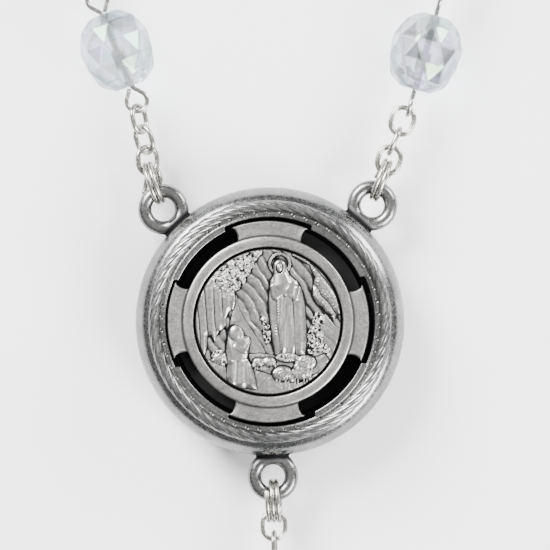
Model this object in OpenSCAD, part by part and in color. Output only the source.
// Rosary laid flat in a heart: a push-button centre, crystal strands and a crucifix pendant.
// Millimetres. The origin is the middle of the centre's flat back face, +Z up, +Y to the strands.

/* [Centre case] */
// outer radius of the case
case_r = 15; // [12:0.5:18]
// height of the joint between back cover and front
split_z = 2.4; // [1.5:0.1:3]
// height of the flat ledge round the button
ledge_z = 7.3; // [6:0.1:9]
// inner radius of the opening at the slots
opening_r = 11.15; // [10:0.05:12]
// inner radius of the opening at the four keyed recesses
recess_r = 11.65; // [11:0.05:12.2]
// inner radius of the case wall
cavity_r = 13.3; // [12.6:0.1:13.8]
// thickness of the lip that holds the button in
lip_t = 1.2; // [0.8:0.1:2]
// radius of the rope moulding's middle
rope_r = 12.85; // [12.5:0.05:13.5]
// thickness of the case cover
cover_t = 0.9; // [0.6:0.1:1.5]

/* [Bails] */
// distance of a bail's hole from the middle of the case
bail_dist = 17.29; // [16:0.1:19]
// radius of a bail's hole
bail_hole_r = 1.315; // [1:0.05:2]
// thickness of a bail's wire
bail_wire = 1.5; // [1:0.1:2]
// half the angle between the two upper bails
bail_angle = 42.5; // [30:0.5:60]

/* [Button and scene] */
// outer radius of the button's four tabs
tab_r = 11.25; // [10:0.05:11.5]
// half the angle that one tab spans
tab_half = 22; // [15:0.5:30]
// outer radius of the button's plain ring
button_r = 9.53; // [8.5:0.1:10]
// radius of the relief disc
relief_r = 8.17; // [7:0.1:8.5]
// how far the button travels
travel = 0.6; // [0.3:0.1:1]
// how far the disc sits off centre in its opening
button_shift = -0.2; // [-0.3:0.05:0.3]

/* [Beads and wirework] */
// largest radius of a crystal bead
bead_r = 4; // [3:0.25:5]
// length of a bead along its hole
bead_len = 8.6; // [6:0.1:10]
// radius of the hole through a bead
bead_hole_r = 0.33; // [0.3:0.01:0.4]
// flat sides round a bead
bead_sides = 10; // [8:1:14]
// thickness of the eye pins' wire
pin_wire = 0.5; // [0.4:0.05:0.6]
// outer width of an eye pin's loop
loop_w = 2.8; // [2.4:0.1:3.2]
// thickness of the chain links' wire
link_wire = 0.58; // [0.5:0.02:0.7]
// outer width of a chain link
link_w = 3.05; // [2.8:0.05:3.6]
// outer length of a chain link
link_l = 3.6; // [3.2:0.1:4.2]
// height of the strands' wire above the table
strand_z = 4; // [4:0.1:5]
// distance from a bead's middle to where its loop meets a link
reach = 6.96; // [6.5:0.01:7.5]
// distance that one pulled-straight link covers
pitch = 2.38; // [2:0.01:3]

/* [Heart layout] */
// first right bead: x, y and compass heading
right_first = [17.9, 29.65, 17];
// first left bead: x (towards the left), y and compass heading
left_first = [16.5, 30.6, 20.2];
// bead number where each lobe has turned round: right, then left
lobe_end = [10.576, 10.723]; // [9:0.01:12]
// bead number where each side starts its straight run to the point: right, then left
run_start = [13.948, 12.798]; // [12:0.01:18]

/* [Crucifix] */
// overall height of the cross
cross_h = 44; // [35:1:55]
// overall width of the cross
cross_w = 25; // [20:1:32]
// width of the cross's beams
beam_w = 4; // [3:0.5:6]
// thickness of the cross
cross_t = 2; // [1.5:0.1:3]

/* [Hidden] */
$fn = 48;
pin_neck = reach + 0.03 + pin_wire - loop_w / 2;   // from a bead's middle to a loop's middle
bail_mid = bail_hole_r + bail_wire / 2;
silver = [0.55, 0.55, 0.56];
bright = [0.75, 0.75, 0.77];
crystal = [0.82, 0.88, 0.95];
brass = [0.8, 0.65, 0.35];
green = [0.1, 0.35, 0.2];
screw_angles = [45, 135, 225, 315];
screw_ring_r = cavity_r - 0.95;
cell_angles = [90, 210, 330];
board_top = 3.7;
switch_top = board_top + 0.57;

// ---- layout: side 0 is the right strand, side 1 the left; a heading is degrees away from the +Y line

function dir(h) = [sin(h), cos(h)];
function first(side) = side == 0 ? right_first : left_first;
function heading(side, i) = lookup(i, [[1, first(side)[2]], [2, first(side)[2] + 9],
    [lobe_end[side], 188], [run_start[side], 202], [24, 202], [27, 235]]);
function link_count(i) = (i == 11 || i == 12 || i == 22 || i == 23) ? 3 : 1;
function link_heading(side, i, k) = heading(side, i - 1)
    + (heading(side, i) - heading(side, i - 1)) * (k + 0.5) / link_count(i);
function link_run(side, i, k) =
    k < 0 ? [0, 0] : link_run(side, i, k - 1) + pitch * dir(link_heading(side, i, k));
function bead_at(side, i) = i == 1 ? [first(side)[0], first(side)[1]]
    : bead_at(side, i - 1) + reach * (dir(heading(side, i - 1)) + dir(heading(side, i)))
      + link_run(side, i, link_count(i) - 1);

module lay(side, p, h) {
    mirrored = side == 0 ? 1 : -1;
    translate([mirrored * p[0], p[1], strand_z]) rotate(-mirrored * h) children();
}

// ---- wire pieces; each lies along Y with its middle at the origin

module half_ring(mid_r, wire) {
    rotate_extrude(angle = 180) translate([mid_r, 0]) circle(d = wire);
}

module link(l = link_l, w = link_w, wire = link_wire) {
    mid_r = (w - wire) / 2;
    half_straight = (l - w) / 2;
    color(bright) for (end = [0, 180]) rotate(end) {
        translate([0, half_straight, 0]) half_ring(mid_r, wire);
        translate([mid_r, -half_straight, 0]) rotate([-90, 0, 0])
            cylinder(d = wire, h = 2 * half_straight);
    }
}

module eye_pin() {
    color(bright) {
        rotate([90, 0, 0])
            cylinder(d = pin_wire, h = 2 * (pin_neck - loop_w / 2 + pin_wire / 2), center = true);
        for (end = [-1, 1]) translate([0, end * pin_neck, 0])
            rotate_extrude() translate([(loop_w - pin_wire) / 2, 0]) circle(d = pin_wire);
    }
}

// a round wire swept along a nearly flat path
module swept_wire(path, wire, sides = 8) {
    last = len(path) - 1;
    points = [for (i = [0:last]) let (
        ahead = path[min(i + 1, last)] - path[max(i - 1, 0)],
        across = [-ahead[1], ahead[0], 0] / norm([ahead[0], ahead[1]]))
        for (j = [0:sides - 1])
            path[i] + wire / 2 * (cos(360 * j / sides) * across + [0, 0, sin(360 * j / sides)])];
    skin = [for (i = [0:last - 1], j = [0:sides - 1]) let (n = (j + 1) % sides)
        [i * sides + j, (i + 1) * sides + j, (i + 1) * sides + n, i * sides + n]];
    polyhedron(points, concat(skin, [[for (j = [0:sides - 1]) j]],
        [[for (j = [sides - 1:-1:0]) last * sides + j]]));
}

// an oval ring wound from a little over two turns of wire
module double_ring(turns) {
    ring_wire = 0.55;
    half_w = 1.82;
    half_l = 2.22;
    wind = 0.57;
    step = 18;
    color(bright) swept_wire([for (t = [0:step:turns * 360])
        [half_w * cos(t), half_l * sin(t), wind * (t / 360 - turns / 2)]], ring_wire);
}

// ---- a faceted bead, its hole along Y

module bead() {
    rows = [[-0.5, 0.43], [-0.37, 0.8], [-0.13, 1], [0.13, 1], [0.37, 0.8], [0.5, 0.43]];
    n = bead_sides;
    top = len(rows) - 1;
    points = [for (k = [0:top], j = [0:n - 1]) let (a = (j + (k % 2) / 2) * 360 / n)
        [bead_r * rows[k][1] * cos(a), bead_r * rows[k][1] * sin(a), bead_len * rows[k][0]]];
    lower = [for (k = [0:top - 1], j = [0:n - 1]) let (m = (j + 1) % n)
        [k * n + j, (k + 1) * n + (k % 2 == 0 ? j : m), k * n + m]];
    upper = [for (k = [0:top - 1], j = [0:n - 1]) let (m = (j + 1) % n)
        [k * n + (k % 2 == 0 ? m : j), (k + 1) * n + j, (k + 1) * n + m]];
    color(crystal) rotate([90, 0, 0]) difference() {
        polyhedron(points, concat(lower, upper, [[for (j = [0:n - 1]) j]],
            [[for (j = [n - 1:-1:0]) top * n + j]]));
        cylinder(r = bead_hole_r, h = bead_len + 1, center = true);
    }
}

// ---- strands

module strand_beads(side, from, to) {
    for (i = [from:to]) lay(side, bead_at(side, i), heading(side, i)) bead();
}

// pins of beads from..to, with the links that lead to each of them
module strand_wire(side, from, to) {
    roll = side == 0 ? 90 : 0;
    for (i = [from:to]) {
        lay(side, bead_at(side, i), heading(side, i)) rotate([0, roll, 0]) eye_pin();
        for (k = [0:link_count(i) - 1])
            lay(side, bead_at(side, i - 1) + reach * dir(heading(side, i - 1)) + link_run(side, i, k - 1)
                + pitch / 2 * dir(link_heading(side, i, k)), link_heading(side, i, k))
                rotate([0, roll + 90 * (k + 1), 0]) link();
    }
}

function strand_end(side) = bead_at(side, 27) + reach * dir(heading(side, 27));

// the link that closes the loop at the heart's point, turned half-way between the two loops it joins
module closing_link() {
    right = strand_end(0);
    left = strand_end(1);
    translate([(right[0] - left[0]) / 2 - 0.04, (right[1] + left[1]) / 2 + 0.13, strand_z + 0.01])
        rotate(79) rotate([0, 41, 0]) link(link_l, link_w, pin_wire);
}

module right_half_decade_wire() {
    strand_wire(0, 23, 27);
    closing_link();
}

module side_ring(side) {
    at = side == 0 ? [12.71, 15.54, 26, 90] : [12.62, 15.74, 15.2, 83.5];
    lay(side, at, at[2]) rotate([0, at[3], 0]) double_ring(2.1);
}

// x, y, heading and roll of the three links between a ring and the first bead
module side_link(side, k) {
    right = [[13.63, 17.75, 18, 0], [14.29, 19.87, 25, 90], [15.2, 22.1, 19, 0]];
    left = [[13.32, 18.26, 1.4, 33], [13.67, 20.57, 16.4, -47], [14.16, 22.89, 10.4, 56.4]];
    at = side == 0 ? right[k] : left[k];
    lay(side, at, at[2]) rotate([0, at[3], 0]) link();
}

module first_pin(side) {
    lay(side, bead_at(side, 1), heading(side, 1)) rotate([0, side == 0 ? 90 : 0, 0]) eye_pin();
}

// ---- centre

module opening_shape() {
    circle(r = opening_r);
    intersection() {
        circle(r = recess_r);
        for (a = [0, 90, 180, 270]) rotate(a) wedge(tab_half + 3);
    }
}

// a flat sector round the X axis
module wedge(half) {
    polygon([[0, 0], [20 * cos(half), -20 * sin(half)], [20, 0], [20 * cos(half), 20 * sin(half)]]);
}

module bail(a) {
    rotate(a) translate([0, bail_dist, strand_z]) {
        rotate_extrude() translate([bail_mid, 0]) circle(d = bail_wire);
        translate([0, -bail_mid - 1, 0]) rotate([-90, 0, 0]) cylinder(r = 1.25, h = 1.3);
    }
}

module case_front() {
    lip_z = ledge_z - lip_t;
    shoulder_z = split_z + 2;
    shoulder = [for (t = [0:11.5:69]) [case_r - 2.4 + 2.4 * cos(t), shoulder_z + 2.85 * sin(t)]];
    rope = [for (t = [0:18:162]) [rope_r + 0.68 * cos(t), ledge_z - 0.1 + 0.68 * sin(t)]];
    color(silver) difference() {
        union() {
            rotate_extrude() polygon(concat([[cavity_r, split_z], [case_r, split_z]], shoulder, rope,
                [[rope_r - 0.7, ledge_z], [opening_r - 0.5, ledge_z],
                [opening_r - 0.5, lip_z], [cavity_r, lip_z]]));
            for (a = [bail_angle, -bail_angle, 180]) bail(a);
            for (a = screw_angles) rotate(a) translate([screw_ring_r, 0, split_z])
                cylinder(r = 1.1, h = lip_z - split_z + 0.2);
        }
        translate([0, 0, lip_z - 0.1]) linear_extrude(4) opening_shape();
        for (a = screw_angles) rotate(a)
            translate([screw_ring_r, 0, split_z - 0.1]) cylinder(r = 0.47, h = 2.6);
    }
}

module case_back() {
    edge = [for (t = [0:15:90]) [case_r - 2.5 + 2.5 * sin(t), split_z - split_z * cos(t)]];
    color(silver) difference() {
        rotate_extrude() polygon(concat([[0, 0]], edge, [[11, split_z], [11, cover_t], [0, cover_t]]));
        for (a = screw_angles) rotate(a) translate([screw_ring_r, 0, -0.1]) {
            cylinder(r = 0.55, h = split_z + 1);
            cylinder(r = 0.9, h = 0.75);
        }
    }
}

module case_screws() {
    color(bright) for (a = screw_angles) rotate(a) translate([screw_ring_r, 0, 0]) difference() {
        union() {
            translate([0, 0, 0.15]) cylinder(r = 0.84, h = 0.45);
            translate([0, 0, 0.5]) cylinder(r = 0.44, h = 4);
        }
        translate([-0.12, -1, 0]) cube([0.24, 2, 0.35]);
    }
}

module push_button() {
    slot_mid = (button_r + tab_r) / 2;
    color(silver) translate([button_shift, 0, 0]) rotate(-2) difference() {
        union() {
            translate([0, 0, 5.9]) cylinder(r = button_r, h = 1.2);
            intersection() {
                translate([0, 0, 5.9]) cylinder(r = tab_r, h = 1);
                translate([0, 0, 5]) linear_extrude(3)
                    for (a = [0, 90, 180, 270]) rotate(a) wedge(tab_half);
            }
            // feet that catch under the lip, and the stem that presses the switch
            intersection() {
                translate([0, 0, 5]) rotate_extrude() translate([tab_r - 1.2, 0]) square([2, 1]);
                translate([0, 0, 4]) linear_extrude(3)
                    for (a = [0, 90, 180, 270]) rotate(a) wedge(tab_half - 4);
            }
            translate([0, 0, switch_top + 0.08 + travel]) cylinder(r = 1.6, h = 1.2);
        }
        translate([0, 0, 6.5]) cylinder(r = relief_r + 0.15, h = 2);
        // round ends of the slots between the tabs
        for (a = [0, 90, 180, 270], e = [-1, 1]) rotate(a + e * (tab_half + 2)) translate([slot_mid, 0, 3])
            cylinder(r = (tab_r - button_r) / 2, h = 6);
    }
}

// one raised flat shape of the scene, kept inside the disc
module scene(top) {
    translate([0, 0, 7.1]) linear_extrude(top) intersection() {
        circle(r = relief_r - 0.1);
        children();
    }
}

module relief_medal() {
    color(silver) translate([button_shift, 0, 0]) rotate(-2) {
        translate([0, 0, 6.5]) cylinder(r = relief_r, h = 0.65);
        // overhanging rocks left and right, and the ground
        scene(0.45) polygon([[-0.7, 9], [-0.7, 7.6], [-1.7, 6.6], [-2, 5.7], [-2.9, 4.1], [-3.8, 3.3],
            [-3.9, 1.4], [-4.9, -0.9], [-6, -2.3], [-6.7, -1.7], [-7, -4], [-9, -4], [-9, 9]]);
        scene(0.4) polygon([[2.6, 9], [2.6, 7.2], [4.8, 6], [5.2, 5], [5, 2.9], [5.4, 1.9], [7.2, 0.5],
            [9, 0.8], [9, 9]]);
        scene(0.3) polygon([[-9, -4], [-5, -4.6], [0, -5.6], [4, -4], [9, -3], [9, -9], [-9, -9]]);
        // standing lady and her halo
        scene(0.7) polygon([[1.1, 6.6], [0.5, 5.2], [0.1, 2.3], [0.3, 0.1], [1, -3.8], [4, -3.7],
            [4.1, 0.1], [3.8, 2.4], [2.2, 5.4], [1.7, 6.6]]);
        scene(0.75) translate([1.3, 6.2]) circle(r = 0.75);
        // kneeling figure
        scene(0.6) polygon([[-4.4, -1.4], [-4.6, -3], [-4.3, -6.4], [-1.3, -6.6], [-2, -4.2],
            [-2, -3], [-3, -1.4]]);
        scene(0.65) translate([-3.8, -1.3]) circle(r = 0.75);
        // sheep
        for (at = [[-0.4, -4.4], [2.2, -5.8], [4.1, -5.3], [5.2, -4.3]])
            scene(0.55) translate(at) scale([1.3, 0.8]) circle(r = 0.9);
    }
}

module return_spring() {
    coils = 2.5;
    low = 3.95;
    high = 5.75;
    color(bright) swept_wire([for (t = [0:15:coils * 360])
        [6 * cos(t), 6 * sin(t), low + (high - low) * t / (coils * 360)]], 0.3);
}

module circuit_board() {
    thick = 0.6;
    color(green) translate([0, 0, board_top - thick]) cylinder(r = 10.7, h = thick);
}

module dome_switch() {
    color(bright) translate([0, 0, board_top + 0.02]) {
        cylinder(r = 2.4, h = 0.25);
        cylinder(r1 = 1.6, r2 = 1, h = 0.55);
    }
}

module sounder_disc() {
    color(brass) translate([0, 0, cover_t + 0.1]) {
        cylinder(r = 4, h = 0.2);
        cylinder(r = 2.8, h = 0.35);
    }
}

module button_cells() {
    color(bright) for (a = cell_angles) rotate(a) translate([7.4, 0, cover_t + 0.02]) {
        cylinder(r = 2.9, h = 1.6);
        cylinder(r = 2.4, h = 1.9);
    }
}

// a flat ring that joins the tops of the three cells
module cell_contact_strip() {
    color(brass) translate([0, 0, 2.85]) difference() {
        cylinder(r = 9.6, h = 0.2);
        translate([0, 0, -1]) cylinder(r = 5.2, h = 2);
    }
}

// ---- pendant, straight down towards -Y

pendant_first_y = -35.45;
pendant_step = 2 * reach + pitch;
pendant_group_y = pendant_first_y - 2 * reach - 3 * pitch;
pendant_last_y = pendant_group_y - 2 * pendant_step - 2 * reach - 3 * pitch;
end_link_y = pendant_last_y - reach - pitch / 2;
cross_ring_y = end_link_y - 3.055;
cross_loop_y = cross_ring_y - 2.906;
cross_top_y = cross_loop_y - 1.6;
beam_y = cross_top_y - 0.3 * cross_h;

module hang(y, roll) {
    translate([0, y, strand_z]) rotate([0, roll, 0]) children();
}

module pendant_ring() {
    hang(-bail_dist - 2.75, 90) rotate(180) double_ring(2.6);
}

module pendant_link(k) {
    hang(-22.8 - 2.25 * k, k % 2 == 0 ? 4 : 86) link();
}

module run_of_links(y) {
    for (k = [0:2]) hang(y - pitch * (k + 0.5), k % 2 == 0 ? 0 : 90) link();
}

module pendant_first_pin() {
    hang(pendant_first_y, 90) eye_pin();
}

module pendant_first_bead() {
    hang(pendant_first_y, 0) bead();
}

module pendant_hail_mary_beads() {
    for (k = [0:2]) hang(pendant_group_y - k * pendant_step, 0) bead();
}

module pendant_hail_mary_wire() {
    run_of_links(pendant_first_y - reach);
    for (k = [0:2]) hang(pendant_group_y - k * pendant_step, 90) eye_pin();
    for (k = [0:1]) hang(pendant_group_y - (k + 0.5) * pendant_step, 0) link();
}

module pendant_last_bead() {
    hang(pendant_last_y, 0) bead();
}

module pendant_last_wire() {
    run_of_links(pendant_group_y - 2 * pendant_step - reach);
    hang(pendant_last_y, 90) eye_pin();
    hang(end_link_y, 0) link();
}

// an upright ring that slopes down from the last link to the cross's loop
module crucifix_ring() {
    slope = 15;
    translate([0, cross_ring_y, 3.2]) rotate([slope, 0, 0]) rotate([0, 90, 0]) link(6, 4.2, 0.8);
}

module cross() {
    flare = 1.4;
    half = beam_w / 2;
    color(silver) {
        linear_extrude(cross_t) for (arm = [[0, cross_top_y - beam_y], [90, cross_w / 2],
            [-90, cross_w / 2], [180, cross_h + beam_y - cross_top_y]])
            translate([0, beam_y]) rotate(arm[0]) polygon([[-half, -half], [-half, arm[1] - 5],
                [-half - flare, arm[1] - 2], [-half + 0.4, arm[1]], [half - 0.4, arm[1]],
                [half + flare, arm[1] - 2], [half, arm[1] - 5], [half, -half]]);
        translate([0, cross_loop_y, 2.3]) rotate_extrude() translate([1.75, 0]) circle(d = 0.9);
        translate([0, cross_loop_y - 1.9, 0.8]) cylinder(r = 0.9, h = 1.9);
    }
}

module limb(from, to, r1, r2) {
    hull() {
        translate(from) sphere(r = r1, $fn = 16);
        translate(to) sphere(r = r2, $fn = 16);
    }
}

// the figure on the cross, cut flat where it lies on the front face
module corpus() {
    color(bright) translate([0, beam_y, cross_t + 0.01]) difference() {
        union() {
            translate([0.4, 0.6, 1.6]) sphere(r = 1.25, $fn = 24);
            limb([0, -2, 1.1], [0, -6, 1], 1.6, 1.2);
            limb([0, -6, 1], [0, -9, 1.1], 1.3, 1.5);
            for (s = [-1, 1]) {
                limb([s * 1.4, -1.4, 1.1], [s * 5.5, 0.1, 0.8], 0.75, 0.55);
                limb([s * 5.5, 0.1, 0.8], [s * 10, 0.6, 0.5], 0.55, 0.45);
                limb([s * 0.8, -9.5, 1.1], [s * 0.7, -15, 1.9], 1.05, 0.8);
                limb([s * 0.7, -15, 1.9], [s * 0.3, -21.5, 0.8], 0.8, 0.5);
            }
        }
        translate([-cross_w / 2, -cross_h, -3]) cube([cross_w, 2 * cross_h, 3]);
    }
}

module title_plate() {
    color(bright) translate([-2.7, beam_y + 5.6, cross_t + 0.02]) cube([5.4, 2, 0.5]);
}

case_front();
case_back();
case_screws();
push_button();
relief_medal();
return_spring();
circuit_board();
dome_switch();
sounder_disc();
button_cells();
cell_contact_strip();
side_ring(0);  // right_ring
side_link(0, 0);  // right_link_1
side_link(0, 1);  // right_link_2
side_link(0, 2);  // right_link_3
first_pin(0);  // right_first_pin
strand_beads(0, 1, 1);  // right_first_bead
strand_beads(0, 2, 10);  // right_decade_1_beads
strand_wire(0, 2, 10);  // right_decade_1_wire
strand_beads(0, 11, 11);  // right_our_father_1_bead
strand_wire(0, 11, 11);  // right_our_father_1_wire
strand_beads(0, 12, 21);  // right_decade_2_beads
strand_wire(0, 12, 21);  // right_decade_2_wire
strand_beads(0, 22, 22);  // right_our_father_2_bead
strand_wire(0, 22, 22);  // right_our_father_2_wire
strand_beads(0, 23, 27);  // right_half_decade_beads
right_half_decade_wire();
side_ring(1);  // left_ring
side_link(1, 0);  // left_link_1
side_link(1, 1);  // left_link_2
side_link(1, 2);  // left_link_3
first_pin(1);  // left_first_pin
strand_beads(1, 1, 1);  // left_first_bead
strand_beads(1, 2, 10);  // left_decade_1_beads
strand_wire(1, 2, 10);  // left_decade_1_wire
strand_beads(1, 11, 11);  // left_our_father_1_bead
strand_wire(1, 11, 11);  // left_our_father_1_wire
strand_beads(1, 12, 21);  // left_decade_2_beads
strand_wire(1, 12, 21);  // left_decade_2_wire
strand_beads(1, 22, 22);  // left_our_father_2_bead
strand_wire(1, 22, 22);  // left_our_father_2_wire
strand_beads(1, 23, 27);  // left_half_decade_beads
strand_wire(1, 23, 27);  // left_half_decade_wire
pendant_ring();
pendant_link(0);  // pendant_link_1
pendant_link(1);  // pendant_link_2
pendant_link(2);  // pendant_link_3
pendant_first_pin();
pendant_first_bead();
pendant_hail_mary_beads();
pendant_hail_mary_wire();
pendant_last_bead();
pendant_last_wire();
crucifix_ring();
cross();
corpus();
title_plate();
